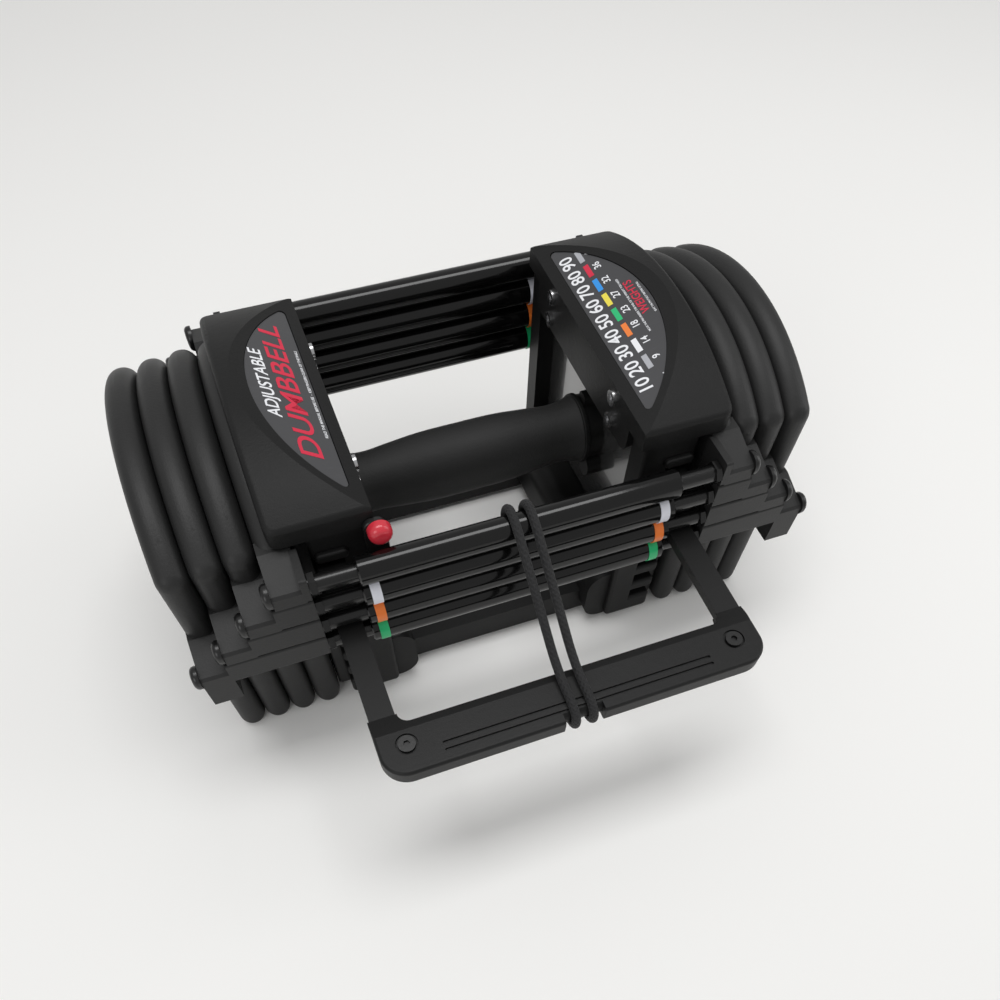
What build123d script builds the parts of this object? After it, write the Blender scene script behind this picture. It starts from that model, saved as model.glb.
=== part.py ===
"""Adjustable dumbbell: a handle block inside four nested weights, with a U-shaped selector pin."""
import os
from math import asin, atan, atan2, cos, hypot, pi, radians, sin, sqrt, tan

from build123d import *

os.makedirs("parts", exist_ok=True)

# ---------------------------------------------------------------- driving dimensions (mm)
# X runs along the grip, Y from the lifter's side (-Y) to the far side, Z is up from the floor.
SIDES = {"left": -1, "right": 1}
WEIGHTS = [20, 30, 40, 50]          # selected total of each nested weight, innermost first

RAIL_Y = 84.0                       # rails stand this far in front of and behind the grip
RAIL_TOP_Z = 123.4                  # axis of the innermost weight's rail
RAIL_PITCH = 13.8                   # the next weight's rail is this much lower
SLEEVE_R = 6.5
SLEEVE_HALF = 75.8                  # glossy sleeve, half its length
ROD_R = 3.9
ROD_HALF = 97.0                     # rods reach the inner ends of the arms
RING_X, RING_W = 70.0, 4.6          # coloured ring near each end of a rail
RING_R = SLEEVE_R + 0.35

PLATE_X0 = 99.3                     # inner face of the innermost end plate
PLATE_PITCH = 14.5
PLATE_T = 14.2
PLATE_HALF_Y = 69.0
PLATE_SHOULDER_Z = 127.0            # where the straight front edge meets the arched top
PLATE_TOP_Z = 149.5                 # top of the outermost plate's arch
PLATE_TOP_STEP = 1.2                # each inner plate is this much taller
RIM_R = 6.6                         # round-over of a plate's edge
ARM_FRONT_Y = 88.5                  # front plane of the arms that carry the rails
ARM_BELOW, ARM_ABOVE = 5.2, 8.2     # an arm's reach below and above its rail's axis
BOLT_R = 2.0
BOLT_HEAD_R, BOLT_HEAD_H = 5.6, 3.4

COVER_X0, COVER_X1 = 62.5, 107.5    # inner and outer faces of the handle's top cover
COVER_HALF_Y = 70.0
COVER_BASE_Z = 133.2
COVER_TOP_Z = 158.4                 # crown of the cover
COVER_ARCH_R = 162.0
FACET_Z0 = 142.2                    # the sloping label facet starts here at the inner face
FACET_SLOPE = 0.42
LIP_Z, LIP_X1, LIP_HALF_Y = 119.5, 66.5, 56.0   # the cover's lip hangs in front of the inner plate
LABEL_T = 1.4
LABEL_X0, LABEL_X1 = 68.0, 94.5     # straight inner side and bowed outer side of the label
LABEL_HALF_Y = 60.0
LABEL_SUNK = 1.8                    # depth of the label's recess in the facet
COVER_SCREWS = [(37.5, 136.5), (38.0, 125.0)]   # (distance from the middle, height)
SCREW_R = 1.6

COLUMN_X0, COLUMN_X1 = 65.0, 92.4   # the slotted columns of the handle block
COLUMN_Y0, COLUMN_Y1 = 57.0, 70.0
COLUMN_Z0 = 3.0
SLOT_COUNT = 8                      # slots for the pin's prongs, one under each rail and four spare
SLOT_X0 = 78.1
SLOT_H = 6.4
RIB_X, RIB_Z = 83.5, 122.4          # pill-shaped rib above the top slot
HOUSING_X0, HOUSING_X1 = 52.0, 77.9 # tubes along the floor that hold the two adder weights
HOUSING_TOP_Z = 40.0
HOUSING_FRONT_Y = 66.0
HOUSING_CORNER_R = 11.0
ADDER_X, ADDER_Z, ADDER_R = 66.0, 21.0, 10.6
LOWER_BAR_Y0, LOWER_BAR_TOP_Z = 47.0, 20.0  # crossbars that join the two housings near the floor
LOWER_BAR_HALF = 58.0

GRIP_Z = 86.5
TUBE_R, TUBE_BORE_R = 11.0, 7.5
INNER_PLATE_X, INNER_PLATE_T = 74.6, 3.0
INNER_PLATE_Z0 = 41.0
INNER_PLATE_TOP_Z = 139.8
OUTER_PLATE_X, OUTER_PLATE_T = 92.4, 6.2
OUTER_PLATE_HALF_Y = 62.0
GRIP_PROFILE = [(0, 17.2), (26, 16.7), (33, 16.1), (39, 15.6), (50, 14.7), (57, 15.2), (63.2, 17.0)]
COLLAR_R = 17.6
COLLAR_X0, COLLAR_X1 = 63.4, 66.4

LATCH_X0, LATCH_X1 = 58.0, 68.0     # flat sliding bar with a red knob, at the front left
LATCH_Y0, LATCH_T = 70.35, 2.4
LATCH_Z0, LATCH_Z1 = 52.0, 137.5
KNOB_X, KNOB_Z, KNOB_R, KNOB_H = 61.6, 132.5, 5.4, 5.6

PIN_RAIL = 2                        # the pin is under the third rail: 40 is selected
PIN_Z = RAIL_TOP_Z - (PIN_RAIL + 0.5) * RAIL_PITCH
PRONG_X0, PRONG_X1 = 79.0, 90.8     # width of a prong of the pin
PRONG_T = 5.0
PRONG_TIP_Y = 44.0                  # far end of the prongs with the pin drawn part way out
BAR_Y0, BAR_Y1 = 143.0, 168.0       # the pin's front bar, which the fingers hold
BAR_HALF_T = 4.8
SHELL_X = 91.6
SHELL_STUB_X = 78.2
SHELL_BACK_Y = 137.5
WAIST_X, WAIST_HALF, WAIST_Y = -1.0, 9.5, 165.0 # narrowed middle of the bar, where the cord lies
PIN_SCREW_X, PIN_SCREW_Y = 78.5, 154.0

CORD_R = 2.1
CORD_X = (-5.2, 3.2)                # the two strands of the elastic lanyard
CORD_END_Y, CORD_STOP_T = 152.0, 4.5    # its ends butt against a stop under the bar
CORD_LEAVE_Y = 144.0                # the strands rise from the bar here
CORD_UTURN_Z = 118.6                # lowest line of the loop behind the top rail

# The pieces are drawn about the grip's axis, then moved so that the footprint's centre is the origin.
FOOTPRINT_SHIFT_Y = (BAR_Y1 - RAIL_Y - RING_R) / 2


def rail_z(k):
    """Height of the rail of nested weight k, 0 being the innermost."""
    return RAIL_TOP_Z - k * RAIL_PITCH


def plate_x(k):
    """Inner face of the end plate of nested weight k."""
    return PLATE_X0 + k * PLATE_PITCH


def save(builder, name):
    """Set one finished piece on the footprint's centre, label it and write its STEP file."""
    builder.part = builder.part.moved(Location((0, FOOTPRINT_SHIFT_Y, 0)))
    builder.part.label = name
    export_step(builder.part, f"parts/{name}.step")
    print(f"{name:24s} volume {builder.part.volume:10.0f} mm3")


def facet_z(x):
    """Height of the sloping facet above the distance x from the middle."""
    return FACET_Z0 + FACET_SLOPE * (x - COVER_X0)


# ---------------------------------------------------------------- nested weights
def plate_outline(half_y, shoulder_z, top_z):
    """Front view of an end plate: flat foot, straight sides and an arched top."""
    with BuildLine() as outline:
        Polyline((-half_y, shoulder_z), (-half_y, 0), (half_y, 0), (half_y, shoulder_z))
        ThreePointArc((half_y, shoulder_z), (0, top_z), (-half_y, shoulder_z))
    return outline.line


def end_plate(k, side):
    """Urethane end plate with its arms, which reach inward to the ends of both rails."""
    x_in, x_out = plate_x(k), plate_x(k) + PLATE_T
    top = PLATE_TOP_Z + PLATE_TOP_STEP * (len(WEIGHTS) - 1 - k)
    shoulder = PLATE_SHOULDER_Z + PLATE_TOP_STEP * (len(WEIGHTS) - 1 - k)
    z = rail_z(k)
    is_outermost = k == len(WEIGHTS) - 1
    ear_foot = z - (19.0 if is_outermost else ARM_BELOW)
    with BuildPart() as plate:
        with BuildSketch(Plane.YZ.offset(x_in)):
            make_face(plate_outline(PLATE_HALF_Y, shoulder, top))
            fillet(vertices().group_by(Axis.Y)[-1], 8)
            fillet(vertices().group_by(Axis.Y)[0], 4)
        extrude(amount=PLATE_T)
        faces_in_out = plate.faces().filter_by(Axis.X)
        fillet(faces_in_out.sort_by(Axis.X)[-1].outer_wire().edges(), RIM_R)
        fillet(plate.faces().filter_by(Axis.X).sort_by(Axis.X)[0].outer_wire().edges(), RIM_R)
        if is_outermost:
            with BuildSketch(Plane.YZ.offset(x_out)):
                make_face(plate_outline(PLATE_HALF_Y - 15, shoulder - 15, top - 15))
                with Locations((0, 7)):
                    Rectangle(3 * PLATE_HALF_Y, 14, mode=Mode.SUBTRACT)
                fillet(vertices(), 8)
            extrude(amount=-1.6, mode=Mode.SUBTRACT)
        for front in (-1, 1):
            ear_profile = [
                (front * 62.0, ear_foot),
                (front * ARM_FRONT_Y, ear_foot),
                (front * ARM_FRONT_Y, z + 1.2),
                (front * (ARM_FRONT_Y - 1.4), z + 2.4),
                (front * PLATE_HALF_Y, z + ARM_ABOVE - 0.2),
                (front * 62.0, z + ARM_ABOVE - 0.2),
            ]
            with BuildSketch(Plane.YZ.offset(x_in)):
                with BuildLine():
                    Polyline(*ear_profile, close=True)
                make_face()
            extrude(amount=PLATE_T - 0.2)
            arm_back = PLATE_HALF_Y + 0.6
            with BuildSketch(Plane.YZ.offset(ROD_HALF)):
                with Locations((front * (arm_back + ARM_FRONT_Y) / 2, z + (ARM_ABOVE - ARM_BELOW) / 2)):
                    RectangleRounded(ARM_FRONT_Y - arm_back, ARM_ABOVE + ARM_BELOW, 1.2)
            extrude(amount=x_in - ROD_HALF + 1.0)
            with BuildSketch(Plane.YZ.offset(ROD_HALF)):
                with Locations((front * RAIL_Y, z)):
                    Circle(BOLT_R + 0.1)
            extrude(amount=x_out - ROD_HALF + 2, mode=Mode.SUBTRACT)
        if side < 0:
            mirror(about=Plane.YZ, mode=Mode.REPLACE)
    return plate


def rods(k):
    """Front and rear steel rods of one weight, each with a hex collar and a tapped bore at its ends."""
    with BuildPart() as pair:
        for front in (-1, 1):
            axis = Plane((-ROD_HALF, front * RAIL_Y, rail_z(k)), x_dir=(0, 1, 0), z_dir=(1, 0, 0))
            with BuildSketch(axis):
                Circle(ROD_R)
            extrude(amount=2 * ROD_HALF)
            for end in (0.4, 2 * ROD_HALF - 3.4):
                with BuildSketch(axis.offset(end)):
                    RegularPolygon(5.4, 6)
                extrude(amount=3.0)
            with BuildSketch(axis):
                Circle(BOLT_R)
            extrude(amount=12, mode=Mode.SUBTRACT)
            with BuildSketch(axis.offset(2 * ROD_HALF - 12)):
                Circle(BOLT_R)
            extrude(amount=12, mode=Mode.SUBTRACT)
    return pair


def sleeve(k, front):
    """Glossy tube over the middle of a rod, grooved where the coloured rings sit."""
    axis = Plane((-SLEEVE_HALF, front * RAIL_Y, rail_z(k)), x_dir=(0, 1, 0), z_dir=(1, 0, 0))
    with BuildPart() as tube:
        with BuildSketch(axis):
            Circle(SLEEVE_R)
            Circle(ROD_R, mode=Mode.SUBTRACT)
        extrude(amount=2 * SLEEVE_HALF)
        chamfer(tube.edges().filter_by(GeomType.CIRCLE).filter_by(lambda e: e.radius > ROD_R + 1), 0.7)
        if k > 0:
            for x in (-RING_X, RING_X):
                with BuildSketch(axis.offset(SLEEVE_HALF + x - RING_W / 2)):
                    Circle(SLEEVE_R + 1)
                    Circle(SLEEVE_R - 1.0, mode=Mode.SUBTRACT)
                extrude(amount=RING_W, mode=Mode.SUBTRACT)
    return tube


def rings(k):
    """Four coloured rings, one near each end of both rails."""
    with BuildPart() as group:
        for front in (-1, 1):
            for x in (-RING_X, RING_X):
                start = Plane((x - RING_W / 2, front * RAIL_Y, rail_z(k)), x_dir=(0, 1, 0), z_dir=(1, 0, 0))
                with BuildSketch(start):
                    Circle(RING_R)
                    Circle(SLEEVE_R - 1.0, mode=Mode.SUBTRACT)
                extrude(amount=RING_W)
    return group


def bolts(k):
    """Four domed bolts, from the outer faces of the end plates into the ends of the rods."""
    with BuildPart() as group:
        for side in SIDES.values():
            for front in (-1, 1):
                head = Plane(
                    (side * (plate_x(k) + PLATE_T - 0.2), front * RAIL_Y, rail_z(k)),
                    x_dir=(0, 1, 0),
                    z_dir=(side, 0, 0),
                )
                with BuildSketch(head):
                    Circle(BOLT_HEAD_R)
                extrude(amount=BOLT_HEAD_H)
                with BuildSketch(head):
                    Circle(BOLT_R)
                extrude(amount=-(plate_x(k) + PLATE_T - ROD_HALF + 10))
        outer = group.faces().filter_by(Axis.X).group_by(Axis.X)
        domes = outer[0] + outer[-1]
        fillet(domes.edges(), 2.2)
        for side in SIDES.values():
            for front in (-1, 1):
                x_top = side * (plate_x(k) + PLATE_T - 0.2 + BOLT_HEAD_H)
                socket = Plane((x_top, front * RAIL_Y, rail_z(k)), x_dir=(0, 1, 0), z_dir=(-side, 0, 0))
                with BuildSketch(socket):
                    RegularPolygon(2.0, 6)
                extrude(amount=1.8, mode=Mode.SUBTRACT)
    return group


for k, total in enumerate(WEIGHTS):
    for side_name, side in SIDES.items():
        save(end_plate(k, side), f"w{total}_plate_{side_name}")
    save(rods(k), f"w{total}_rods")
    save(sleeve(k, -1), f"w{total}_sleeve_front")
    save(sleeve(k, 1), f"w{total}_sleeve_back")
    save(bolts(k), f"w{total}_bolts")
    if k > 0:
        save(rings(k), f"w{total}_rings")


# ---------------------------------------------------------------- handle block
def cover_arch_z(y):
    """Height of the cover's arched top at the distance y in front of or behind the grip."""
    return COVER_TOP_Z - COVER_ARCH_R + sqrt(COVER_ARCH_R**2 - y**2)


def label_plane():
    """Plane of the right-hand facet, u along the front-to-back direction and v up the slope."""
    slope = atan(FACET_SLOPE)
    return Plane(
        (COVER_X0, 0, FACET_Z0), x_dir=(0, -1, 0), z_dir=(-sin(slope), 0, cos(slope))
    )


def up_slope(x):
    """Distance up the facet from the cover's inner face to the distance x from the middle."""
    return (x - COVER_X0) * sqrt(1 + FACET_SLOPE**2)


def label_outline(grow):
    """D-shaped outline of the label, grown by a margin."""
    v0, v1 = up_slope(LABEL_X0) - grow, up_slope(LABEL_X1) + grow
    half = LABEL_HALF_Y + grow
    with BuildSketch(Plane.XY) as outline:
        with BuildLine():
            Line((half, v0), (-half, v0))
            ThreePointArc((-half, v0), (0, v1), (half, v0))
        make_face()
        fillet(outline.vertices(), 2.0)
    return outline.sketch


def cover(side):
    """Top cover of one end: sloping label facet, arched crown and a lip over the inner plate."""
    edge_z = cover_arch_z(COVER_HALF_Y)
    top_step = PLATE_TOP_STEP * (len(WEIGHTS) - 1)
    with BuildPart() as body:
        with BuildSketch(Plane.YZ.offset(COVER_X0)):
            with BuildLine():
                Polyline(
                    (COVER_HALF_Y, edge_z),
                    (COVER_HALF_Y, COVER_BASE_Z),
                    (-COVER_HALF_Y, COVER_BASE_Z),
                    (-COVER_HALF_Y, edge_z),
                )
                ThreePointArc((-COVER_HALF_Y, edge_z), (0, COVER_TOP_Z), (COVER_HALF_Y, edge_z))
            make_face()
        extrude(amount=COVER_X1 - COVER_X0)
        fillet(body.edges().filter_by(Axis.Z).group_by(Axis.X)[-1], 5)
        with BuildSketch(Plane.XZ):
            with BuildLine():
                Polyline(
                    (COVER_X0 - 1, FACET_Z0 - FACET_SLOPE),
                    (COVER_X1 + 20, facet_z(COVER_X1 + 20)),
                    (COVER_X0 - 1, facet_z(COVER_X1 + 20)),
                    close=True,
                )
            make_face()
        extrude(amount=COVER_HALF_Y + 5, both=True, mode=Mode.SUBTRACT)
        outer_rim = body.faces().sort_by(Axis.X)[-1].edges().sort_by(Axis.Z)[-1]
        fillet(outer_rim, 3)
        with BuildSketch(Plane.YZ.offset(COVER_X0)):
            with Locations((0, (LIP_Z + COVER_BASE_Z + 1) / 2)):
                Rectangle(2 * LIP_HALF_Y, COVER_BASE_Z + 1 - LIP_Z)
            fillet(vertices().group_by(Axis.Y)[0], 6)
        extrude(amount=LIP_X1 - COVER_X0)
        with BuildSketch(Plane.XY.offset(COVER_BASE_Z)):
            with Locations(((70 + OUTER_PLATE_X) / 2, 0)):
                RectangleRounded(OUTER_PLATE_X - 70, 2 * COLUMN_Y0, 3)
        extrude(amount=INNER_PLATE_TOP_Z - COVER_BASE_Z, mode=Mode.SUBTRACT)
        with BuildSketch(Plane.YZ.offset(OUTER_PLATE_X + OUTER_PLATE_T + 0.2)):
            make_face(
                plate_outline(
                    PLATE_HALF_Y + 1.4, PLATE_SHOULDER_Z + top_step + 0.6, PLATE_TOP_Z + top_step + 0.6
                )
            )
        extrude(amount=20, mode=Mode.SUBTRACT)
        with BuildSketch(label_plane()):
            add(label_outline(0.25))
        extrude(amount=-LABEL_SUNK, mode=Mode.SUBTRACT)
        for y, z in COVER_SCREWS:
            for front in (-1, 1):
                with BuildSketch(Plane.YZ.offset(COVER_X0 - 1)):
                    with Locations((front * y, z)):
                        Circle(SCREW_R)
                extrude(amount=10, mode=Mode.SUBTRACT)
        if side < 0:
            mirror(about=Plane.YZ, mode=Mode.REPLACE)
    return body


def label(side):
    """D-shaped label plate that lies in the facet's recess."""
    with BuildPart() as plate:
        with BuildSketch(label_plane().offset(-LABEL_SUNK)):
            add(label_outline(0))
        extrude(amount=LABEL_T)
        if side < 0:
            mirror(about=Plane.YZ, mode=Mode.REPLACE)
    return plate


def column(side, front):
    """Slotted column: eight slots for the prongs, a pill-shaped rib and the housing's end at the floor."""
    with BuildPart() as post:
        with BuildSketch(Plane.XY.offset(COLUMN_Z0)):
            with Locations(((COLUMN_X0 + COLUMN_X1) / 2, (COLUMN_Y0 + COLUMN_Y1) / 2)):
                Rectangle(COLUMN_X1 - COLUMN_X0, COLUMN_Y1 - COLUMN_Y0)
            fillet(vertices().group_by(Axis.Y)[-1], 2)
        extrude(amount=COVER_BASE_Z - COLUMN_Z0)
        fillet(post.edges().filter_by(Axis.Y).group_by(Axis.X)[0].sort_by(Axis.Z)[0], 4)
        with BuildSketch(Plane.XZ.offset(-COLUMN_Y0)):
            with Locations(((HOUSING_X0 + COLUMN_X0 + 6) / 2, (COLUMN_Z0 + HOUSING_TOP_Z) / 2)):
                Rectangle(COLUMN_X0 + 6 - HOUSING_X0, HOUSING_TOP_Z - COLUMN_Z0)
            fillet(vertices().group_by(Axis.X)[0], HOUSING_CORNER_R)
        extrude(amount=COLUMN_Y0 - HOUSING_FRONT_Y)
        for i in range(SLOT_COUNT):
            slot_z = RAIL_TOP_Z - (i + 0.5) * RAIL_PITCH
            with BuildSketch(Plane.XZ.offset(-COLUMN_Y0 + 1)):
                with Locations(((SLOT_X0 + COLUMN_X1 + 1) / 2, slot_z)):
                    Rectangle(COLUMN_X1 + 1 - SLOT_X0, SLOT_H)
            extrude(amount=-20, mode=Mode.SUBTRACT)
        teeth = post.edges().filter_by(Axis.Y).filter_by_position(Axis.X, COLUMN_X1 - 0.1, COLUMN_X1 + 0.1)
        fillet(teeth.filter_by_position(Axis.Z, COLUMN_Z0 + 1, COVER_BASE_Z - 1), 2.2)
        with BuildSketch(Plane.XZ.offset(-COLUMN_Y1 + 0.5)):
            with Locations((RIB_X, RIB_Z)):
                SlotOverall(15, 4.8)
        extrude(amount=-3.0)
        fillet(post.faces().sort_by(Axis.Y)[-1].edges(), 1.2)
        if front < 0:
            mirror(about=Plane.XZ, mode=Mode.REPLACE)
        if side < 0:
            mirror(about=Plane.YZ, mode=Mode.REPLACE)
    return post


def adder_housing(side):
    """Tube along the foot of the block, bored for one adder weight."""
    with BuildPart() as housing:
        with BuildSketch(Plane.XZ):
            with Locations(((HOUSING_X0 + HOUSING_X1) / 2, (COLUMN_Z0 + HOUSING_TOP_Z) / 2)):
                Rectangle(HOUSING_X1 - HOUSING_X0, HOUSING_TOP_Z - COLUMN_Z0)
            fillet(vertices().group_by(Axis.X)[0], HOUSING_CORNER_R)
            with Locations((ADDER_X, ADDER_Z)):
                Circle(ADDER_R, mode=Mode.SUBTRACT)
        extrude(amount=COLUMN_Y0, both=True)
        if side < 0:
            mirror(about=Plane.YZ, mode=Mode.REPLACE)
    return housing


def adder(side):
    """Loose-looking but captive steel cylinder inside the housing."""
    with BuildPart() as bar:
        with BuildSketch(Plane.XZ):
            with Locations((side * ADDER_X, ADDER_Z)):
                Circle(ADDER_R)
        extrude(amount=COLUMN_Y0, both=True)
        chamfer(bar.edges().filter_by(GeomType.CIRCLE), 1.0)
    return bar


def inner_plate(side):
    """Glossy plate facing the grip, with a hole for the tube and clearance for the screws."""
    height = INNER_PLATE_TOP_Z - INNER_PLATE_Z0
    with BuildPart() as plate:
        with BuildSketch(Plane.YZ.offset(INNER_PLATE_X)):
            with Locations((0, INNER_PLATE_Z0 + height / 2)):
                Rectangle(2 * COLUMN_Y0, height)
            fillet(vertices(), 3)
            with Locations((0, GRIP_Z)):
                Circle(TUBE_R, mode=Mode.SUBTRACT)
            for y, z in COVER_SCREWS:
                with Locations((y, z), (-y, z)):
                    Circle(SCREW_R, mode=Mode.SUBTRACT)
        extrude(amount=INNER_PLATE_T)
        if side < 0:
            mirror(about=Plane.YZ, mode=Mode.REPLACE)
    return plate


def outer_plate(side):
    """Steel plate that closes the outer side of the block."""
    with BuildPart() as plate:
        with BuildSketch(Plane.YZ.offset(OUTER_PLATE_X)):
            with Locations((0, (4 + COVER_BASE_Z) / 2)):
                Rectangle(2 * OUTER_PLATE_HALF_Y, COVER_BASE_Z - 4)
            fillet(vertices(), 3)
        extrude(amount=OUTER_PLATE_T)
        fillet(plate.faces().sort_by(Axis.X)[-1].edges(), 1.5)
        if side < 0:
            mirror(about=Plane.YZ, mode=Mode.REPLACE)
    return plate


def collar(side):
    """Ring and boss between the rubber grip and the inner plate, with a lug on top and two lobes below."""
    with BuildPart() as boss:
        with BuildSketch(Plane.YZ.offset(COLLAR_X0)):
            with Locations((0, GRIP_Z)):
                Circle(COLLAR_R)
        extrude(amount=COLLAR_X1 - COLLAR_X0)
        fillet(boss.edges(), 0.8)
        with BuildSketch(Plane.YZ.offset(COLLAR_X1)):
            with Locations((0, GRIP_Z)):
                Circle(COLLAR_R - 1.2)
            with Locations((0, GRIP_Z + COLLAR_R)):
                RectangleRounded(7, 8, 2)
            with Locations((-12, GRIP_Z - 15), (12, GRIP_Z - 15)):
                Circle(6)
        extrude(amount=INNER_PLATE_X - COLLAR_X1)
        with BuildSketch(Plane.YZ.offset(COLLAR_X0)):
            with Locations((0, GRIP_Z)):
                Circle(TUBE_R)
        extrude(amount=20, mode=Mode.SUBTRACT)
        if side < 0:
            mirror(about=Plane.YZ, mode=Mode.REPLACE)
    return boss


with BuildPart() as handle_tube:
    with BuildSketch(Plane.YZ.offset(-INNER_PLATE_X - INNER_PLATE_T)):
        with Locations((0, GRIP_Z)):
            Circle(TUBE_R)
            Circle(TUBE_BORE_R, mode=Mode.SUBTRACT)
    extrude(amount=2 * (INNER_PLATE_X + INNER_PLATE_T))
save(handle_tube, "handle_tube")

with BuildPart() as grip:
    with BuildSketch(Plane.XZ):
        with BuildLine():
            left_half = [(-x, GRIP_Z + r) for x, r in reversed(GRIP_PROFILE[1:])]
            right_half = [(x, GRIP_Z + r) for x, r in GRIP_PROFILE]
            profile = Spline(*left_half, *right_half)
            Polyline(profile @ 1, (63.2, GRIP_Z + TUBE_R), (-63.2, GRIP_Z + TUBE_R), profile @ 0)
        make_face()
    revolve(axis=Axis((0, 0, GRIP_Z), (1, 0, 0)))
save(grip, "grip")

with BuildPart() as handle_screws:
    for side in SIDES.values():
        for y, z in COVER_SCREWS:
            for front in (-1, 1):
                seat = Plane((side * COVER_X0, front * y, z), x_dir=(0, 1, 0), z_dir=(-side, 0, 0))
                with BuildSketch(seat):
                    Circle(3.6)
                extrude(amount=1.8)
                with BuildSketch(seat.offset(1.8)):
                    RegularPolygon(1.7, 6)
                extrude(amount=-1.2, mode=Mode.SUBTRACT)
                with BuildSketch(seat):
                    Circle(SCREW_R)
                extrude(amount=-(INNER_PLATE_X + INNER_PLATE_T - COVER_X0))
save(handle_screws, "handle_screws")

for side_name, side in SIDES.items():
    save(cover(side), f"cover_{side_name}")
    save(label(side), f"label_{side_name}")
    save(inner_plate(side), f"inner_plate_{side_name}")
    save(outer_plate(side), f"outer_plate_{side_name}")
    save(collar(side), f"collar_{side_name}")
    save(adder_housing(side), f"adder_housing_{side_name}")
    save(adder(side), f"adder_{side_name}")
    for front_name, front in (("front", -1), ("back", 1)):
        save(column(side, front), f"column_{front_name}_{side_name}")

for front_name, front in (("front", -1), ("back", 1)):
    with BuildPart() as lower_bar:
        with BuildSketch(Plane.XZ.offset(-front * LOWER_BAR_Y0)):
            with Locations((0, (COLUMN_Z0 + LOWER_BAR_TOP_Z) / 2)):
                Rectangle(2 * LOWER_BAR_HALF, LOWER_BAR_TOP_Z - COLUMN_Z0)
            for side in SIDES.values():
                with Locations((side * (HOUSING_X0 + HOUSING_X1) / 2, (COLUMN_Z0 + HOUSING_TOP_Z) / 2)):
                    RectangleRounded(
                        HOUSING_X1 - HOUSING_X0, HOUSING_TOP_Z - COLUMN_Z0, HOUSING_CORNER_R, mode=Mode.SUBTRACT
                    )
        extrude(amount=-front * (COLUMN_Y0 - LOWER_BAR_Y0))
    save(lower_bar, f"lower_bar_{front_name}")

with BuildPart() as latch_bar:
    with BuildSketch(Plane.XZ.offset(LATCH_Y0)):
        with Locations((-(LATCH_X0 + LATCH_X1) / 2, (LATCH_Z0 + LATCH_Z1) / 2)):
            RectangleRounded(LATCH_X1 - LATCH_X0, LATCH_Z1 - LATCH_Z0, 4)
    extrude(amount=LATCH_T)
    chamfer(latch_bar.faces().sort_by(Axis.Y)[0].edges(), 0.4)
save(latch_bar, "latch_bar")

with BuildPart() as latch_knob:
    with BuildSketch(Plane.XZ.offset(LATCH_Y0 + LATCH_T)):
        with Locations((-KNOB_X, KNOB_Z)):
            Circle(KNOB_R)
    extrude(amount=KNOB_H)
    fillet(latch_knob.faces().sort_by(Axis.Y)[0].edges(), 3.4)
save(latch_knob, "latch_knob")


# ---------------------------------------------------------------- selector pin
def bar_outline(grow):
    """Top view of the pin's front bar with its two short stubs, shrunk by a margin."""
    x_out, x_in = SHELL_X - grow, SHELL_STUB_X + grow
    with BuildSketch(Plane.XY) as outline:
        with BuildLine():
            Polyline(
                (-x_out, -SHELL_BACK_Y),
                (-x_out, -BAR_Y1 + grow),
                (x_out, -BAR_Y1 + grow),
                (x_out, -SHELL_BACK_Y),
                (x_in, -SHELL_BACK_Y),
                (x_in, -BAR_Y0 - grow),
                (-x_in, -BAR_Y0 - grow),
                (-x_in, -SHELL_BACK_Y),
                close=True,
            )
        make_face()
        outer = outline.vertices().group_by(Axis.Y)[0]
        fillet(outer, 12 - grow)
        inner = outline.vertices().filter_by_position(Axis.X, -x_in - 0.1, x_in + 0.1)
        fillet(inner.filter_by_position(Axis.Y, -BAR_Y0 - grow - 0.1, -BAR_Y0 - grow + 0.1), 5)
    return outline.sketch


def u_outline():
    """Top view of the U-shaped steel plate inside the bar, which ends in the two prongs."""
    with BuildSketch(Plane.XY) as outline:
        with BuildLine():
            Polyline(
                (-PRONG_X1, PRONG_TIP_Y),
                (-PRONG_X1, -BAR_Y1 + 3),
                (PRONG_X1, -BAR_Y1 + 3),
                (PRONG_X1, PRONG_TIP_Y),
                (PRONG_X0, PRONG_TIP_Y),
                (PRONG_X0, -BAR_Y0 - 3),
                (-PRONG_X0, -BAR_Y0 - 3),
                (-PRONG_X0, PRONG_TIP_Y),
                close=True,
            )
        make_face()
        fillet(outline.vertices().group_by(Axis.Y)[0], 9)
        fillet(outline.vertices().group_by(Axis.Y)[-1], 3)
        with Locations((WAIST_X, -BAR_Y1)):
            Rectangle(2 * WAIST_HALF + 4, 12, mode=Mode.SUBTRACT)
        with Locations((PIN_SCREW_X, -PIN_SCREW_Y), (-PIN_SCREW_X, -PIN_SCREW_Y)):
            Circle(SCREW_R, mode=Mode.SUBTRACT)
    return outline.sketch


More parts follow.
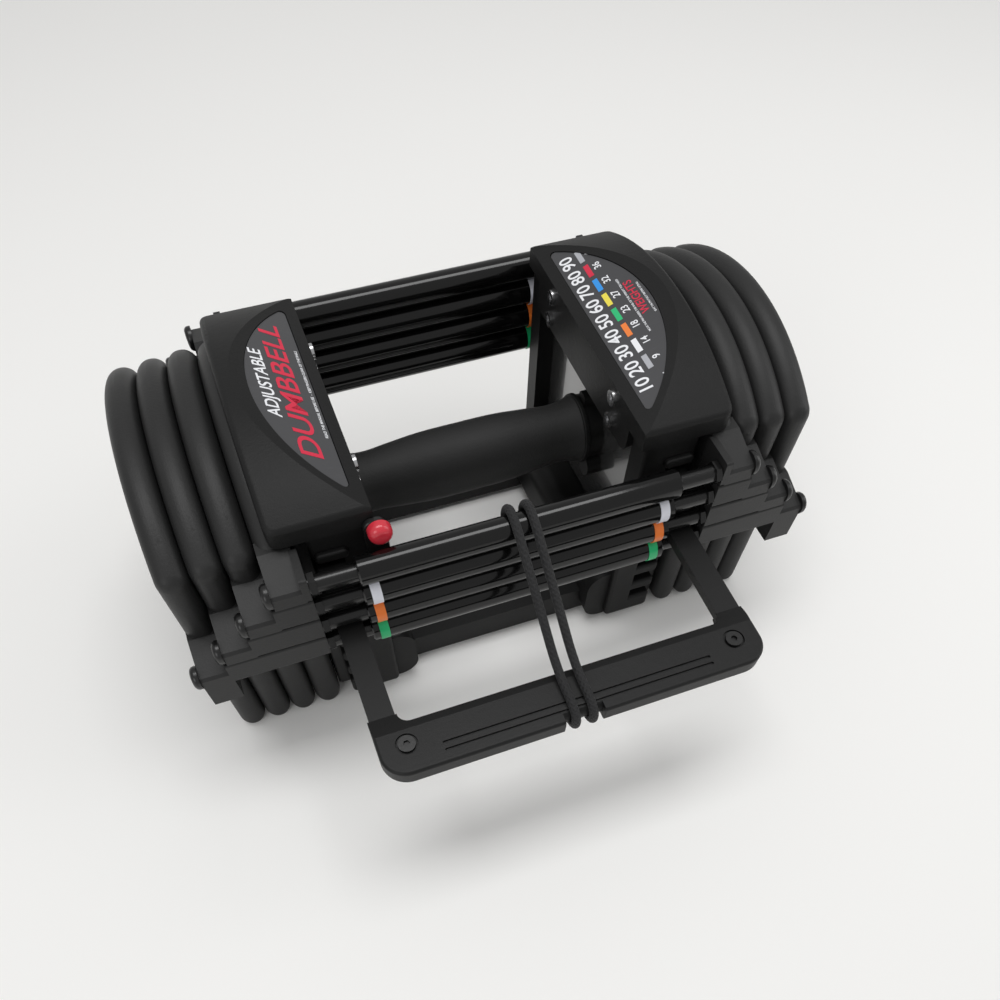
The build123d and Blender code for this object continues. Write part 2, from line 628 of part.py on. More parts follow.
def pin_shell(up):
    """Upper (up = 1) or lower (up = -1) moulded half of the pin's front bar."""
    with BuildPart() as shell:
        with BuildSketch(Plane.XY.offset(0)):
            add(bar_outline(0))
        extrude(amount=BAR_HALF_T)
        rim = shell.faces().sort_by(Axis.Z)[-1].edges()
        fillet(rim.filter_by_position(Axis.Y, -BAR_Y1 - 1, -SHELL_BACK_Y - 0.1), 1.6)
        with BuildSketch(Plane.YZ):
            with BuildLine():
                Polyline(
                    (-SHELL_BACK_Y + 1, PRONG_T / 2 - 0.2),
                    (-SHELL_BACK_Y + 1, BAR_HALF_T + 2),
                    (-BAR_Y0 - 4, BAR_HALF_T + 2),
                    (-BAR_Y0 - 4, BAR_HALF_T),
                    (-SHELL_BACK_Y, PRONG_T / 2),
                    close=True,
                )
            make_face()
        extrude(amount=SHELL_X + 5, both=True, mode=Mode.SUBTRACT)
        with BuildSketch(Plane.XY):
            with Locations((WAIST_X, -BAR_Y1)):
                Rectangle(2 * WAIST_HALF, 2 * (BAR_Y1 - WAIST_Y))
        extrude(amount=BAR_HALF_T + 1, mode=Mode.SUBTRACT)
        waist_edge = shell.edges().filter_by(Axis.X).filter_by_position(Axis.Y, -WAIST_Y - 0.1, -WAIST_Y + 0.1)
        fillet(waist_edge.sort_by(Axis.Z)[-1], 4.4)
        with BuildSketch(Plane.XY):
            add(u_outline())
        extrude(amount=PRONG_T / 2, mode=Mode.SUBTRACT)
        with BuildSketch(Plane.XY):
            with Locations((PIN_SCREW_X, -PIN_SCREW_Y), (-PIN_SCREW_X, -PIN_SCREW_Y)):
                Circle(SCREW_R)
        extrude(amount=BAR_HALF_T, mode=Mode.SUBTRACT)
        if up > 0:
            with BuildSketch(Plane.XY.offset(BAR_HALF_T)):
                with Locations((PIN_SCREW_X, -PIN_SCREW_Y), (-PIN_SCREW_X, -PIN_SCREW_Y)):
                    Circle(5.0)
                with Locations((0, -158.6), (0, -162.2)):
                    SlotOverall(128, 1.4)
            extrude(amount=-1.0, mode=Mode.SUBTRACT)
        else:
            with BuildSketch(Plane.XY.offset(BAR_HALF_T)):
                with Locations((WAIST_X, -CORD_END_Y + CORD_STOP_T / 2)):
                    RectangleRounded(2 * WAIST_HALF, CORD_STOP_T, 1.5)
            extrude(amount=2 * CORD_R)
            mirror(about=Plane.XY, mode=Mode.REPLACE)
    shell.part = shell.part.moved(Location((0, 0, PIN_Z)))
    return shell


with BuildPart() as pin_prongs:
    with BuildSketch(Plane.XY.offset(PIN_Z - PRONG_T / 2)):
        add(u_outline())
    extrude(amount=PRONG_T)
save(pin_prongs, "pin_prongs")
save(pin_shell(1), "pin_shell_upper")
save(pin_shell(-1), "pin_shell_lower")

with BuildPart() as pin_screws:
    for side in SIDES.values():
        with BuildSketch(Plane.XY.offset(PIN_Z - BAR_HALF_T)):
            with Locations((side * PIN_SCREW_X, -PIN_SCREW_Y)):
                Circle(SCREW_R)
        extrude(amount=2 * BAR_HALF_T - 1.0)
        with BuildSketch(Plane.XY.offset(PIN_Z + BAR_HALF_T - 1.0)):
            with Locations((side * PIN_SCREW_X, -PIN_SCREW_Y)):
                Circle(3.9)
        extrude(amount=1.6)
        with BuildSketch(Plane.XY.offset(PIN_Z + BAR_HALF_T + 0.6)):
            with Locations((side * PIN_SCREW_X, -PIN_SCREW_Y)):
                RegularPolygon(1.6, 6)
        extrude(amount=-1.2, mode=Mode.SUBTRACT)
save(pin_screws, "pin_screws")


# ---------------------------------------------------------------- elastic lanyard
def heading(angle, length):
    """Step in the (Y, Z) plane."""
    return length * cos(angle), length * sin(angle)


def rounded_route(points, corner_radii):
    """Straight runs between the points, joined by a tangent arc at each corner."""
    corners = [Vector(p) for p in points]
    with BuildLine(mode=Mode.PRIVATE) as line:
        at = corners[0]
        for before, corner, after, radius in zip(corners, corners[1:], corners[2:], corner_radii):
            arriving, leaving = (corner - before).normalized(), (after - corner).normalized()
            half_turn = radians(arriving.get_angle(leaving)) / 2
            setback = radius * tan(half_turn)
            arc_start, arc_end = corner - arriving * setback, corner + leaving * setback
            bisector = (leaving - arriving).normalized()
            arc_middle = corner + bisector * (radius / cos(half_turn) - radius)
            Line(at, arc_start)
            ThreePointArc(arc_start, arc_middle, arc_end)
            at = arc_end
        Line(at, corners[-1])
    return line.wire()


def cord_tube(points, corner_radii):
    """Round cord along straight runs joined by tangent arcs."""
    route = rounded_route(points, corner_radii)
    with BuildPart() as tube:
        with BuildSketch(Plane(points[0], z_dir=Vector(points[1]) - Vector(points[0]))):
            Circle(CORD_R)
        sweep(path=route)
    ratio = tube.part.volume / (pi * CORD_R**2 * route.length)
    print(f"cord length {route.length:.1f} mm, radii {corner_radii}, volume ratio {ratio:.4f}")
    return tube.part


wrap_r = SLEEVE_R + CORD_R                      # around the top rail
leave_z = PIN_Z + BAR_HALF_T + CORD_R           # along the top of the bar
reach_y, reach_z = CORD_LEAVE_Y - RAIL_Y, RAIL_TOP_Z - leave_z
distance = hypot(reach_y, reach_z)
climb = atan2(reach_z, reach_y) + asin(wrap_r / distance)
run = sqrt(distance**2 - wrap_r**2)
turn_step = (climb + pi / 2) / 2                # the wrap is two equal turns
tangent = wrap_r * tan(turn_step / 2)


def on_strand(length):
    """Point of a strand in (Y, Z), measured from where it leaves the bar."""
    dy, dz = heading(climb, length)
    return -CORD_LEAVE_Y + dy, leave_z + dz


strand_start = on_strand(2.8)
strand_end = on_strand(run - 3.0)
wrap_corner_1 = on_strand(run + tangent)
step = heading(climb - turn_step, 2 * tangent)
wrap_corner_2 = (wrap_corner_1[0] + step[0], wrap_corner_1[1] + step[1])
front_corner_y = -WAIST_Y - CORD_R
under_z = PIN_Z - BAR_HALF_T - CORD_R

bar_route = [
    (-CORD_END_Y, under_z),
    (front_corner_y, under_z),
    (front_corner_y, leave_z),
    (-CORD_LEAVE_Y, leave_z),
    strand_start,
]
rail_route = [strand_end, wrap_corner_1, wrap_corner_2, (wrap_corner_2[0], CORD_UTURN_Z)]


def at_x(x, route):
    """Route in (Y, Z) placed in the plane of one strand."""
    return [(x, y, z) for y, z in route]


with BuildPart() as lanyard_loop:
    there = at_x(CORD_X[0], rail_route)
    back = at_x(CORD_X[1], reversed(rail_route))
    add(cord_tube(there + back, [wrap_r, wrap_r, 4.15, 4.15, wrap_r, wrap_r]))
save(lanyard_loop, "lanyard_loop")

with BuildPart() as lanyard_wrap:
    for x in CORD_X:
        add(cord_tube(at_x(x, bar_route), [6.5, 6.5, 7.0]))
save(lanyard_wrap, "lanyard_wrap")

with BuildPart() as lanyard_strands:
    for x in CORD_X:
        start = Vector(x, *strand_start)
        along = Vector(x, *strand_end) - start
        with BuildSketch(Plane(start, z_dir=along)):
            Circle(CORD_R)
        extrude(amount=along.length)
save(lanyard_strands, "lanyard_strands")
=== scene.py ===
# %% [markdown]
# # Adjustable dumbbell
# Four weights nest inside each other. Each has an end plate on the left and on the right, joined by a
# glossy rail in front and another behind, one rail under the other. The handle block stands inside them
# all, and a U-shaped pin goes through its slots, under the rail of the heaviest weight that is to be
# lifted. An elastic cord keeps the pin from being lost. The solids come from the CAD model; this script
# adds the finishes, the printed labels and the soft cord.

import math

import bpy
from mathutils import Matrix, Vector


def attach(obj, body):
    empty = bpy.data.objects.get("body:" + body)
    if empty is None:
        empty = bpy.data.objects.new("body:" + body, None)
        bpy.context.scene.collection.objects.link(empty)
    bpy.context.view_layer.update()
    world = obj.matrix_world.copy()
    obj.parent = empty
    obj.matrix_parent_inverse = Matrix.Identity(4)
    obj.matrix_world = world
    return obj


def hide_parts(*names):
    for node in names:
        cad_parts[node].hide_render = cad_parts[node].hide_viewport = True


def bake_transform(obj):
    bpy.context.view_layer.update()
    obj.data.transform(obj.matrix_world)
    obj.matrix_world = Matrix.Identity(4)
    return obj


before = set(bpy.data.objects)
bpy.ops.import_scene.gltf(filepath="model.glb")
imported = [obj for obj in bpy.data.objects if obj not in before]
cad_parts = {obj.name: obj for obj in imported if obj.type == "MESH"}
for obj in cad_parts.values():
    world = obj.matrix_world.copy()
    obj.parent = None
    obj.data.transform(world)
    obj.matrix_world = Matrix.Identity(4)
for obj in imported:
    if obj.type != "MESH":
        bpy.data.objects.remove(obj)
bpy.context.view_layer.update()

SHIFT = 0.038575  # the grip's axis stands this far behind the footprint's centre, which is the origin
SIDES = ("left", "right")
WEIGHTS = [20, 30, 40, 50]

# %% [markdown]
# ## The camera
# The photograph looks down at the dumbbell from the front and a little from the left, from close by, with
# a wide lens, so the far end is clearly smaller than the near one. The frame is a crop of the upper part
# of that view, which the shift of the lens repeats.

# %% Camera
camera_data = bpy.data.cameras.new("camera")
camera_data.sensor_width = 36
camera_data.lens = 26.48
camera_data.shift_x = -0.0016
camera_data.shift_y = 0.2486
camera = bpy.data.objects.new("camera", camera_data)
bpy.context.scene.collection.objects.link(camera)
camera.rotation_euler = [math.radians(a) for a in (24.6158, -1.2251, -20.4119)]
camera.location = (-0.09243, -0.28963 + SHIFT, 0.37779)
bpy.context.scene.camera = camera
bpy.context.scene.view_settings.view_transform = "Standard"
print("camera height above the floor, metres:", round(camera.location.z, 3))

# %% [markdown]
# ## The elastic cord
# One black cord goes from a stop under the pin's bar, round the narrowed front edge of the bar, straight
# up to the top rail, over it, and back the same way 8 mm to the side. It is 4.2 mm thick and under light
# tension, so both strands are straight, and they fold tightly only at the rail and at the bar. Its line
# is a NURBS curve through the same route as the CAD tube. Each long run has two more points of its own,
# about six cord widths from its ends, which keep it straight.

# %% Route of the cord
CORD_R = 0.0021
STRANDS = (-0.0052, 0.0032)
bar_route = [(-0.152, 0.0820), (-0.1671, 0.0820), (-0.1671, 0.0958), (-0.1440, 0.0958)]
straight = [(-0.12265, 0.10925), (-0.10745, 0.11882)]
rail_route = [(-0.08428, 0.13340), (-0.07540, 0.12849), (-0.07540, 0.11860)]


def in_plane(x, route):
    """(Y, Z) points of the route, about the grip, as points of one strand's plane in the frame."""
    return [(x, y + SHIFT, z) for y, z in route]


one_way = bar_route + straight + rail_route
route = in_plane(STRANDS[0], one_way) + in_plane(STRANDS[1], reversed(one_way))
curve = bpy.data.curves.new("lanyard", "CURVE")
curve.dimensions = "3D"
curve.resolution_u = 16
spline = curve.splines.new("NURBS")
spline.points.add(len(route) - 1)
for point, place in zip(spline.points, route):
    point.co = (*place, 1)
spline.order_u = 3
spline.use_endpoint_u = True
line_object = bpy.data.objects.new("lanyard_line", curve)
bpy.context.scene.collection.objects.link(line_object)
line_mesh = bpy.data.meshes.new_from_object(line_object)
centreline = [tuple(v.co) for v in line_mesh.vertices]
cord_length = sum(math.dist(a, b) for a, b in zip(centreline, centreline[1:]))
print("cord length, metres:", round(cord_length, 4), "points:", len(centreline))

# %% The cord's round tube
curve.bevel_depth = CORD_R
curve.bevel_resolution = 5
curve.use_fill_caps = True
bpy.ops.object.select_all(action="DESELECT")
line_object.select_set(True)
bpy.context.view_layer.objects.active = line_object
bpy.ops.object.convert(target="MESH")
lanyard = bpy.context.view_layer.objects.active
lanyard.name = "lanyard"
bpy.ops.object.shade_smooth()
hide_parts("lanyard_loop", "lanyard_strands", "lanyard_wrap")
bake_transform(lanyard)
print("lanyard uv layers:", [u.name for u in lanyard.data.uv_layers], "faces:", len(lanyard.data.polygons))

# %% [markdown]
# ## Shared effects for the finishes
# The finishes share three effects, each a node group that gives only colours or values: a slow drift of
# the tone, as moulded urethane and paint have; a fine grain for the bump; and faint scuffs.

# %% Node groups
def new_group(name, inputs, outputs):
    """Empty node group with named inputs, given as (name, kind, default), and outputs."""
    group = bpy.data.node_groups.new(name, "ShaderNodeTree")
    for label, kind, default in inputs:
        socket = group.interface.new_socket(label, in_out="INPUT", socket_type=kind)
        socket.default_value = default
    for label, kind in outputs:
        group.interface.new_socket(label, in_out="OUTPUT", socket_type=kind)
    nodes, links = group.nodes, group.links
    return group, nodes, links, nodes.new("NodeGroupInput"), nodes.new("NodeGroupOutput")


FLOAT, COLOR, VECTOR = "NodeSocketFloat", "NodeSocketColor", "NodeSocketVector"

tone_group, nodes, links, source, sink = new_group(
    "Tone drift",
    [
        ("Vector", VECTOR, (0, 0, 0)),
        ("Base", COLOR, (0.05, 0.05, 0.05, 1)),
        ("Scale", FLOAT, 18),
        ("Spread", FLOAT, 0.25),
    ],
    [("Color", COLOR), ("Mask", FLOAT)],
)
noise = nodes.new("ShaderNodeTexNoise")
noise.inputs["Detail"].default_value = 5
links.new(source.outputs["Vector"], noise.inputs["Vector"])
links.new(source.outputs["Scale"], noise.inputs["Scale"])
centred = nodes.new("ShaderNodeMath")
centred.operation = "SUBTRACT"
centred.inputs[1].default_value = 0.5
links.new(noise.outputs["Fac"], centred.inputs[0])
gain = nodes.new("ShaderNodeMath")
gain.operation = "MULTIPLY_ADD"
gain.inputs[2].default_value = 1.0
links.new(centred.outputs[0], gain.inputs[0])
links.new(source.outputs["Spread"], gain.inputs[1])
tinted = nodes.new("ShaderNodeVectorMath")
tinted.operation = "SCALE"
links.new(source.outputs["Base"], tinted.inputs[0])
links.new(gain.outputs[0], tinted.inputs["Scale"])
links.new(tinted.outputs[0], sink.inputs["Color"])
links.new(noise.outputs["Fac"], sink.inputs["Mask"])

grain_group, nodes, links, source, sink = new_group(
    "Moulded grain",
    [("Vector", VECTOR, (0, 0, 0)), ("Scale", FLOAT, 900), ("Coarse", FLOAT, 120)],
    [("Height", FLOAT)],
)
fine = nodes.new("ShaderNodeTexNoise")
fine.inputs["Detail"].default_value = 3
links.new(source.outputs["Vector"], fine.inputs["Vector"])
links.new(source.outputs["Scale"], fine.inputs["Scale"])
pebble = nodes.new("ShaderNodeTexVoronoi")
links.new(source.outputs["Vector"], pebble.inputs["Vector"])
links.new(source.outputs["Coarse"], pebble.inputs["Scale"])
both = nodes.new("ShaderNodeMath")
both.operation = "MULTIPLY_ADD"
both.inputs[1].default_value = 0.35
links.new(pebble.outputs["Distance"], both.inputs[0])
links.new(fine.outputs["Fac"], both.inputs[2])
links.new(both.outputs[0], sink.inputs["Height"])

scuff_group, nodes, links, source, sink = new_group(
    "Scuffs",
    [("Vector", VECTOR, (0, 0, 0)), ("Scale", FLOAT, 60), ("Amount", FLOAT, 0.5)],
    [("Mask", FLOAT)],
)
squeeze = nodes.new("ShaderNodeMapping")
squeeze.inputs["Rotation"].default_value = (0.4, 0.3, 0.6)
squeeze.inputs["Scale"].default_value = (1, 7, 3)
links.new(source.outputs["Vector"], squeeze.inputs["Vector"])
streaks = nodes.new("ShaderNodeTexNoise")
streaks.inputs["Detail"].default_value = 8
streaks.inputs["Roughness"].default_value = 0.7
links.new(squeeze.outputs[0], streaks.inputs["Vector"])
links.new(source.outputs["Scale"], streaks.inputs["Scale"])
cut = nodes.new("ShaderNodeMapRange")
cut.inputs["From Min"].default_value = 0.58
cut.inputs["From Max"].default_value = 0.72
links.new(streaks.outputs["Fac"], cut.inputs["Value"])
scaled = nodes.new("ShaderNodeMath")
scaled.operation = "MULTIPLY"
links.new(cut.outputs[0], scaled.inputs[0])
links.new(source.outputs["Amount"], scaled.inputs[1])
links.new(scaled.outputs[0], sink.inputs["Mask"])
print("node groups:", [g.name for g in bpy.data.node_groups])


# %% [markdown]
# ## The finishes
# Nearly everything is black, and the parts are told apart by their gloss: matte urethane plates, covers
# and columns with a fine moulded texture, gloss-black sleeves, glossy inner plates, a soft rubber grip,
# and smooth black rods and bolts. The covers' screws are bright steel. Colour comes only from the rings,
# the knob and the print on the labels.

# %% One function for all the finishes
GRAIN_DEPTH = 0.0004
SCUFF_LIGHT = 0.004  # a scuff on the blackest part is still this light


def group_node(tree, group, **values):
    node = tree.nodes.new("ShaderNodeGroup")
    node.node_tree = group
    for name, value in values.items():
        node.inputs[name].default_value = value
    return node


def finish(
    name, base, rough, spread=0.25, tone_scale=18, grain=900, coarse=120, bump=0.15, metal=0.0,
    coat=0.0, coat_rough=0.1, scuffs=0.3, scuff_tone=1.6, rough_swing=0.08, specular=0.5,
):
    """Principled material with a drifting tone, a moulded grain and faint scuffs on Object coordinates."""
    material = bpy.data.materials.new(name)
    material.use_nodes = True
    tree = material.node_tree
    shader = tree.nodes["Principled BSDF"]
    shader.inputs["Metallic"].default_value = metal
    shader.inputs["Coat Weight"].default_value = coat
    shader.inputs["Coat Roughness"].default_value = coat_rough
    shader.inputs["Specular IOR Level"].default_value = specular
    place = tree.nodes.new("ShaderNodeTexCoord").outputs["Object"]
    tone = group_node(tree, tone_group, Base=(*base, 1), Scale=tone_scale, Spread=spread)
    relief = group_node(tree, grain_group, Scale=grain, Coarse=coarse)
    scratch = group_node(tree, scuff_group, Amount=scuffs)
    for node in (tone, relief, scratch):
        tree.links.new(place, node.inputs["Vector"])
    mix = tree.nodes.new("ShaderNodeMix")
    mix.data_type = "RGBA"
    mix.inputs["B"].default_value = (*[min(1, c * scuff_tone + SCUFF_LIGHT) for c in base], 1)
    tree.links.new(scratch.outputs["Mask"], mix.inputs["Factor"])
    tree.links.new(tone.outputs["Color"], mix.inputs["A"])
    tree.links.new(mix.outputs["Result"], shader.inputs["Base Color"])
    swing = tree.nodes.new("ShaderNodeMapRange")
    swing.inputs["To Min"].default_value = max(0.02, rough - rough_swing)
    swing.inputs["To Max"].default_value = min(1, rough + rough_swing)
    tree.links.new(tone.outputs["Mask"], swing.inputs["Value"])
    tree.links.new(swing.outputs[0], shader.inputs["Roughness"])
    bumper = tree.nodes.new("ShaderNodeBump")
    bumper.inputs["Strength"].default_value = bump
    bumper.inputs["Distance"].default_value = GRAIN_DEPTH
    tree.links.new(relief.outputs["Height"], bumper.inputs["Height"])
    tree.links.new(bumper.outputs["Normal"], shader.inputs["Normal"])
    return material


# %% Make them
looks = {
    "urethane": finish("urethane", (0.016, 0.016, 0.016), 0.48, bump=0.22, specular=0.35),
    "cover": finish(
        "cover plastic", (0.009, 0.009, 0.009), 0.48,
        bump=0.25, grain=1400, coarse=400, specular=0.22,
    ),
    "column": finish("column plastic", (0.005, 0.005, 0.005), 0.50, bump=0.18, specular=0.25),
    "sleeve": finish(
        "gloss sleeve", (0.003, 0.003, 0.003), 0.14,
        bump=0.02, coat=0.3, coat_rough=0.06, scuffs=0.1, rough_swing=0.04, specular=0.3,
    ),
    "plate": finish(
        "gloss plate", (0.20, 0.20, 0.20), 0.22,
        bump=0.01, metal=0.8, coat=1.0, coat_rough=0.04, scuffs=0.08, rough_swing=0.04,
    ),
    "block": finish("satin block", (0.008, 0.008, 0.008), 0.42, bump=0.06, specular=0.35),
    "rod": finish("black rod", (0.006, 0.006, 0.006), 0.24, bump=0.03, scuffs=0.2),
    "bolt": finish("black bolt", (0.007, 0.007, 0.007), 0.30, bump=0.05),
    "screw": finish("bright screw", (0.62, 0.62, 0.63), 0.24, bump=0.03, metal=1.0, scuffs=0.2),
    "grip": finish(
        "grip rubber", (0.012, 0.012, 0.012), 0.60,
        bump=0.35, grain=1800, coarse=600, specular=0.35,
    ),
    "label": finish(
        "label film", (0.050, 0.050, 0.054), 0.38,
        spread=0.5, tone_scale=9, bump=0.02, coat=0.3, coat_rough=0.2,
    ),
    "white": finish("ring white", (0.78, 0.79, 0.86), 0.35, spread=0.08, bump=0.04, scuff_tone=0.8),
    "orange": finish("ring orange", (0.85, 0.20, 0.03), 0.35, spread=0.12, bump=0.04, scuff_tone=0.8),
    "green": finish("ring green", (0.01, 0.45, 0.16), 0.35, spread=0.12, bump=0.04, scuff_tone=0.8),
    "red": finish(
        "knob red", (0.62, 0.03, 0.05), 0.28,
        spread=0.1, bump=0.03, coat=0.3, scuff_tone=0.8,
    ),
    "pin": finish(
        "pin plastic", (0.008, 0.008, 0.008), 0.46,
        bump=0.22, grain=1400, coarse=400, specular=0.28,
    ),
    "prong": finish("pin steel", (0.007, 0.007, 0.007), 0.45, bump=0.08, specular=0.3),
    "latch": finish("latch steel", (0.010, 0.010, 0.010), 0.36, bump=0.05),
    "adder": finish("adder steel", (0.55, 0.55, 0.56), 0.22, bump=0.02, metal=1.0),
}
ink_colours = {
    "white": (0.86, 0.87, 0.90), "grey": (0.42, 0.43, 0.46), "red": (0.66, 0.02, 0.06),
    "orange": (0.86, 0.22, 0.04), "green": (0.02, 0.50, 0.18), "yellow": (0.85, 0.72, 0.08),
    "blue": (0.03, 0.30, 0.80),
}
inks = {}
for key, colour in ink_colours.items():
    inks[key] = finish("ink " + key, colour, 0.45, spread=0.06, bump=0.02, scuff_tone=0.9)


def paint(node, look):
    mesh = bpy.data.objects[node].data
    mesh.materials.clear()
    mesh.materials.append(looks[look])


for w in WEIGHTS:
    for side in SIDES:
        paint(f"w{w}_plate_{side}", "urethane")
    paint(f"w{w}_rods", "rod")
    paint(f"w{w}_sleeve_front", "sleeve")
    paint(f"w{w}_sleeve_back", "sleeve")
    paint(f"w{w}_bolts", "bolt")
for w, ring in ((30, "white"), (40, "orange"), (50, "green")):
    paint(f"w{w}_rings", ring)
by_side = {
    "cover": "cover", "label": "label", "inner_plate": "plate", "outer_plate": "block", "collar": "column",
    "adder_housing": "column", "adder": "adder", "column_front": "column", "column_back": "column",
}
for side in SIDES:
    for piece, look in by_side.items():
        paint(f"{piece}_{side}", look)
singles = {
    "handle_tube": "rod", "grip": "grip", "handle_screws": "screw", "pin_prongs": "prong",
    "pin_shell_upper": "pin", "pin_shell_lower": "pin", "pin_screws": "bolt",
    "lower_bar_front": "column", "lower_bar_back": "column", "latch_bar": "latch", "latch_knob": "red",
    "lanyard_loop": "grip", "lanyard_wrap": "grip", "lanyard_strands": "grip",
}
for node, look in singles.items():
    paint(node, look)
print("finishes:", len(bpy.data.materials))

# %% [markdown]
# ## The cord's braid
# The cord's sleeve is woven from fine black yarn. Two sets of waves cross on the tube's own coordinates,
# along and around it, and give the small diamonds of the weave. Where the weave is low, between the yarns,
# the colour is darkened as painted shade.

# %% Braid
TURNS_ALONG, YARNS_AROUND = 115, 6
braid = bpy.data.materials.new("braid")
braid.use_nodes = True
tree = braid.node_tree
shader = tree.nodes["Principled BSDF"]
shader.inputs["Sheen Weight"].default_value = 0.05
coords = tree.nodes.new("ShaderNodeUVMap")
heights = []
for turn in (1, -1):
    lay = tree.nodes.new("ShaderNodeVectorMath")
    lay.operation = "DOT_PRODUCT"
    lay.inputs[1].default_value = (TURNS_ALONG, YARNS_AROUND * turn, 0)
    tree.links.new(coords.outputs["UV"], lay.inputs[0])
    whole = tree.nodes.new("ShaderNodeMath")
    whole.operation = "MULTIPLY"
    whole.inputs[1].default_value = 2 * math.pi
    tree.links.new(lay.outputs["Value"], whole.inputs[0])
    wave = tree.nodes.new("ShaderNodeMath")
    wave.operation = "SINE"
    tree.links.new(whole.outputs[0], wave.inputs[0])
    heights.append(wave.outputs[0])
crossed = tree.nodes.new("ShaderNodeMath")
crossed.operation = "MAXIMUM"
tree.links.new(heights[0], crossed.inputs[0])
tree.links.new(heights[1], crossed.inputs[1])
# Painted shade: the yarn's colour falls to 35 % in the hollows between the yarns, where the weave is
# lowest.
painted_weave_shade = tree.nodes.new("ShaderNodeMapRange")
painted_weave_shade.inputs["From Min"].default_value = -1
painted_weave_shade.inputs["To Min"].default_value = 0.35
tree.links.new(crossed.outputs[0], painted_weave_shade.inputs["Value"])
# The black of the yarn, darkened by the painted shade of the weave's hollows.
yarn_colour_and_painted_shade = tree.nodes.new("ShaderNodeVectorMath")
yarn_colour_and_painted_shade.operation = "SCALE"
yarn_colour_and_painted_shade.inputs[0].default_value = (0.012, 0.012, 0.013)
tree.links.new(painted_weave_shade.outputs[0], yarn_colour_and_painted_shade.inputs["Scale"])
tree.links.new(yarn_colour_and_painted_shade.outputs[0], shader.inputs["Base Color"])
fuzz = tree.nodes.new("ShaderNodeMapRange")
fuzz.inputs["To Min"].default_value = 0.6
fuzz.inputs["To Max"].default_value = 0.8
tree.links.new(painted_weave_shade.outputs[0], fuzz.inputs["Value"])
tree.links.new(fuzz.outputs[0], shader.inputs["Roughness"])
weave = tree.nodes.new("ShaderNodeBump")
weave.inputs["Strength"].default_value = 0.6
weave.inputs["Distance"].default_value = 0.0003
tree.links.new(crossed.outputs[0], weave.inputs["Height"])
tree.links.new(weave.outputs["Normal"], shader.inputs["Normal"])
lanyard.data.materials.clear()
lanyard.data.materials.append(braid)

# %% [markdown]
# ## The printed labels
# Each cover has a D-shaped label in a shallow recess of its sloping face. The right one lists the weights
# from 10 at the front to 90 at the back, each with the colour of its ring and its weight in kilograms,
# and reads from the outer side. The left one has a short white line over a larger red word. Both are
# given neutral wording here.

# %% Place on a label
FACET_SLOPE = 0.42  # rise of the cover's sloping face, away from the grip
FACET_X, FACET_Z = 0.0625, 0.1422  # its lower edge
SLOPE = math.atan(FACET_SLOPE)
LABEL_TOP = 0.0004  # the film lies this far under the cover's face
PRINT_LIFT = 0.00006  # the print's middle stands this far above the film
INK_T = 0.00008  # thickness of the print
SOFT_EDGE = 0.00002
BOLDNESS = 0.012  # outward offset of a letter's outline, per unit of its size


def on_label(side, x, y):
    """Matrix for print centred at x from the middle and y from the grip; text runs towards +Y."""
    height = FACET_Z + FACET_SLOPE * (x - FACET_X)
    normal = Vector((-side * math.sin(SLOPE), 0, math.cos(SLOPE)))
    along = Vector((0, 1, 0))
    up = normal.cross(along)
    place = Vector((side * x, y + SHIFT, height)) + normal * (PRINT_LIFT - LABEL_TOP)
    turn = Matrix((along, up, normal)).transposed().to_4x4()
    return Matrix.Translation(place) @ turn


def settle(piece, matrix, ink):
    """Move the print into its mesh, give it its ink and let it ride on the handle."""
    piece.data.transform(matrix)
    piece.matrix_world = Matrix.Identity(4)
    piece.data.materials.clear()
    piece.data.materials.append(ink)
    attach(piece, "handle")
    return piece


def word(name, text, size, side, x, y, ink, slant=0.0, stretch=1.0):
    """Printed word, centred at the place."""
    bpy.ops.object.select_all(action="DESELECT")
    bpy.ops.object.text_add(location=(0, 0, 0))
    piece = bpy.context.view_layer.objects.active
    piece.data.body = text
    piece.data.size = size
    piece.data.align_x = "CENTER"
    piece.data.align_y = "CENTER"
    piece.data.shear = slant
    piece.data.extrude = INK_T / 2
    piece.data.offset = size * BOLDNESS
    bpy.ops.object.convert(target="MESH")
    piece = bpy.context.view_layer.objects.active
    piece.name = name
    return settle(piece, on_label(side, x, y) @ Matrix.Diagonal((stretch, 1, 1, 1)), ink)


def bar(name, length, width, side, x, y, ink):
    """Printed bar, long side along the text's direction, with softened corners."""
    bpy.ops.object.select_all(action="DESELECT")
    bpy.ops.mesh.primitive_cube_add(size=1, location=(0, 0, 0))
    piece = bpy.context.view_layer.objects.active
    piece.name = name
    piece.data.transform(Matrix.Diagonal((length, width, INK_T, 1)))
    bpy.ops.object.mode_set(mode="EDIT")
    bpy.ops.mesh.select_all(action="SELECT")
    bpy.ops.mesh.bevel(offset=SOFT_EDGE, segments=1)
    bpy.ops.object.mode_set(mode="OBJECT")
    return settle(piece, on_label(side, x, y), ink)


# %% Right label: the weights, their colours and kilograms
RIGHT = 1
FIRST_Y, STEP = -0.0452, 0.0113  # place of the weight 10, and the distance to the next
bar_inks = [None, "grey", "white", "orange", "green", "yellow", "blue", "red", "grey"]
kilograms = [4, 9, 14, 18, 23, 27, 32, 36, 41]
for i in range(9):
    y = FIRST_Y + i * STEP
    pounds = str(10 * (i + 1))
    word(f"print_lb_{i}", pounds, 0.0089, RIGHT, 0.0727, y, inks["white"], slant=0.12, stretch=1.05)
    word(f"print_kg_{i}", str(kilograms[i]), 0.0048, RIGHT, 0.0828, y, inks["white"], slant=0.12)
    if bar_inks[i]:
        bar(f"print_bar_{i}", 0.0086, 0.0026, RIGHT, 0.0785, y, inks[bar_inks[i]])
word("print_title", "WEIGHTS", 0.0054, RIGHT, 0.0893, 0.003, inks["red"], slant=0.15)
NOTE = "MOVE THE PIN UNDER THE RAIL OF THE WEIGHT YOU NEED"
word("print_note_1", NOTE, 0.0014, RIGHT, 0.0862, 0.0, inks["white"])
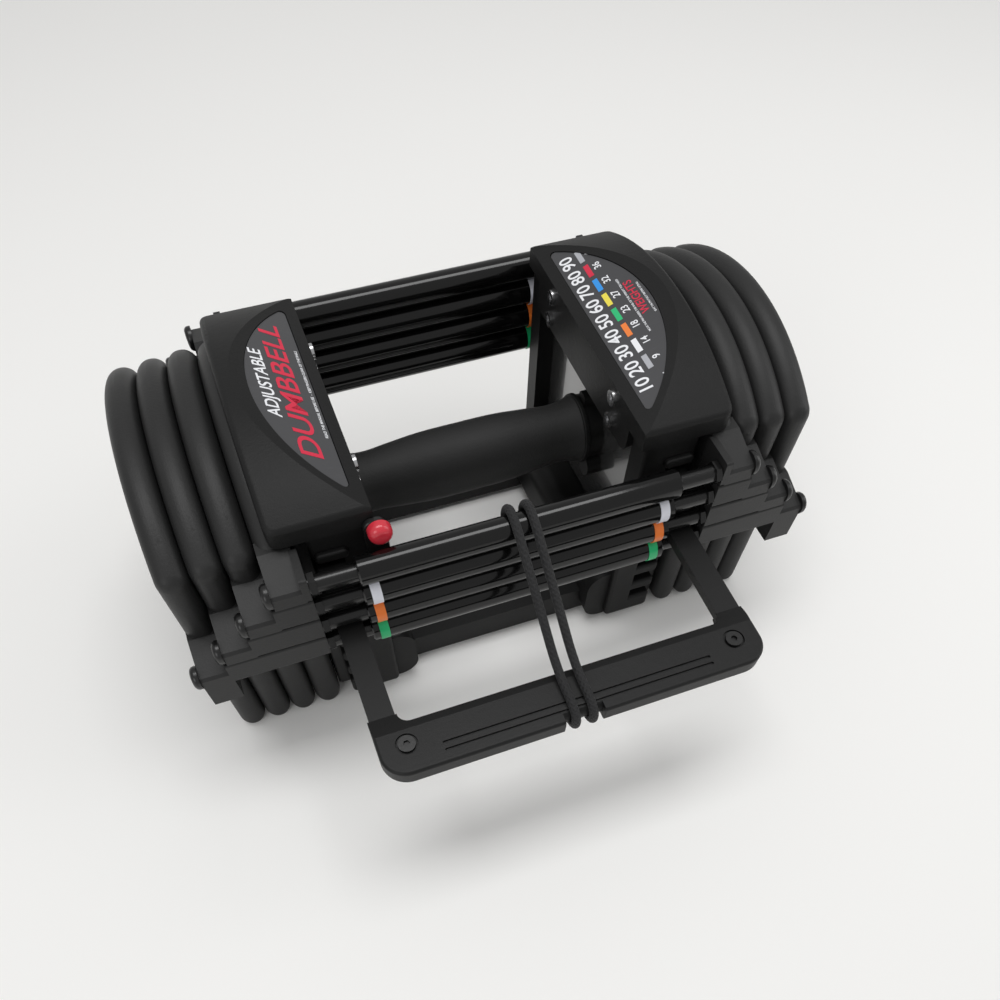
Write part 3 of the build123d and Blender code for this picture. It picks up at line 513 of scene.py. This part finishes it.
word("print_note_2", "SEAT THE PIN FULLY BEFORE LIFTING", 0.0013, RIGHT, 0.0925, 0.0, inks["white"])

# %% Left label: a small white line and a large red word
LEFT = -1
word("print_small", "ADJUSTABLE", 0.0078, LEFT, 0.0872, 0.004, inks["white"], slant=0.15)
word("print_large", "DUMBBELL", 0.0130, LEFT, 0.0778, 0.001, inks["red"], slant=0.2, stretch=1.40)
FINE_LINE = "READ THE MANUAL BEFORE USE  -  KEEP FINGERS CLEAR OF THE RAILS"
word("print_fine", FINE_LINE, 0.0018, LEFT, 0.0696, 0.0, inks["white"])

# %% [markdown]
# ## Floor and light
# The dumbbell stands on a plain, very pale floor. Large soft lights stand above and to the sides, and
# give the long bright lines along the gloss rails. The world is dim, so the black parts stay black.

# %% Floor
bpy.ops.object.select_all(action="DESELECT")
bpy.ops.mesh.primitive_plane_add(size=8, location=(0, 0, 0))
floor = bpy.context.view_layer.objects.active
floor.name = "floor"
pale = finish("floor", (0.93, 0.925, 0.91), 0.7, spread=0.02, tone_scale=2, bump=0.0, scuffs=0.0)
floor.data.materials.append(pale)

# %% Lights
world = bpy.data.worlds.new("studio")
bpy.context.scene.world = world
world.use_nodes = True
world.node_tree.nodes["Background"].inputs["Color"].default_value = (1.0, 1.0, 0.995, 1)
world.node_tree.nodes["Background"].inputs["Strength"].default_value = 0.46


def softbox(name, place, target, size, watts):
    data = bpy.data.lights.new(name, "AREA")
    data.shape = "RECTANGLE"
    data.size, data.size_y = size
    data.energy = watts
    lamp = bpy.data.objects.new(name, data)
    bpy.context.scene.collection.objects.link(lamp)
    lamp.location = place
    lamp.rotation_euler = (Vector(target) - Vector(place)).to_track_quat("-Z", "Y").to_euler()


softbox("top", (0.0, 0.15, 1.5), (0, 0.04, 0.1), (1.3, 0.5), 10)
softbox("front_left", (-1.1, -1.0, 0.9), (0, 0, 0.1), (0.7, 0.7), 4)
softbox("right", (1.2, -0.2, 0.8), (0, 0, 0.1), (0.6, 0.9), 3)
